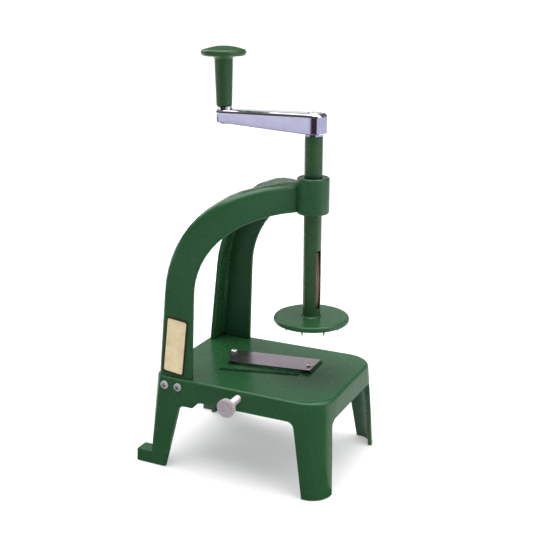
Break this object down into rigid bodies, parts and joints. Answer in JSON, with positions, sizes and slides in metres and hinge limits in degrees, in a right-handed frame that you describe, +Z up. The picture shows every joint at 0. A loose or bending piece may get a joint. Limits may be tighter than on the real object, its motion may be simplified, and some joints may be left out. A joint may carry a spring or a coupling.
{
  "type": "hand-cranked vegetable slicer",
  "caption": "Upright hand-cranked slicer: moulded table on shell legs, wishbone arch, sliding crank shaft with spiked food disc over a fixed blade and comb slot with a clamp screw.",
  "frame": {"origin": "on the ground, under the middle of the machine's bounding box", "axes": "+Z up along the crank shaft, +X along the table from the arch to its free end, +Y from the clamp screw's side to the other side"},
  "size_m": [0.1668, 0.1402, 0.333],
  "materials": {
    "green_body": "satin moulded",
    "bush_dark": "plain",
    "screw_steel": "bright zinc",
    "blade_steel": "ground",
    "knurled_steel": "plated",
    "crank_chrome": "polished plating",
    "insert_brass": "turned",
    "spring_bronze": "rolled strip",
    "plate_cream": "satin"
  },
  "bodies": {
    "frame": {"base": "green_body", "arch_frame": "green_body", "arch_screws_front": "screw_steel", "arch_screws_back": "screw_steel", "blank_plate": "plate_cream", "main_blade": "blade_steel", "blade_screws": "screw_steel", "blade_inserts": "insert_brass", "thumb_insert": "insert_brass"},
    "bush": {"shaft_bush": "bush_dark"},
    "spindle": {"shaft": "green_body", "friction_spring": "spring_bronze", "food_disc": "green_body", "disc_screw": "screw_steel", "crank_arm": "crank_chrome", "crank_screw": "screw_steel", "crank_washer": "screw_steel", "grip_pin": "screw_steel"},
    "grip": {"hand_grip": "green_body", "grip_plug": "green_body"},
    "clamp": {"clamp_shoe": "screw_steel"},
    "thumb": {"thumb_screw": "knurled_steel"}
  },
  "joints": [
    {"name": "crank_turn", "type": "hinge", "parent": "frame", "child": "bush", "pos_m": [0.04525, 0.00765, 0.224], "axis": [0, 0, 1], "continuous": true},
    {"name": "shaft_slide", "type": "slide", "parent": "bush", "child": "spindle", "axis": [0, 0, 1], "range_m": [-0.031, 0.076]},
    {"name": "grip_spin", "type": "hinge", "parent": "spindle", "child": "grip", "pos_m": [-0.03574, 0.01674, 0.31], "axis": [0, 0, 1], "continuous": true},
    {"name": "clamp_slide", "type": "slide", "parent": "frame", "child": "clamp", "axis": [0, 1, 0], "range_m": [0, 0.003]},
    {"name": "thumb_turn", "type": "hinge", "parent": "clamp", "child": "thumb", "pos_m": [0.0081, -0.05235, 0.0703], "axis": [0, 1, 0], "range_deg": [0, 1080]}
  ],
  "couplings": [
    {"joint": "thumb_turn", "follows": "clamp_slide", "rad_per_m": 6283.2}
  ]
}
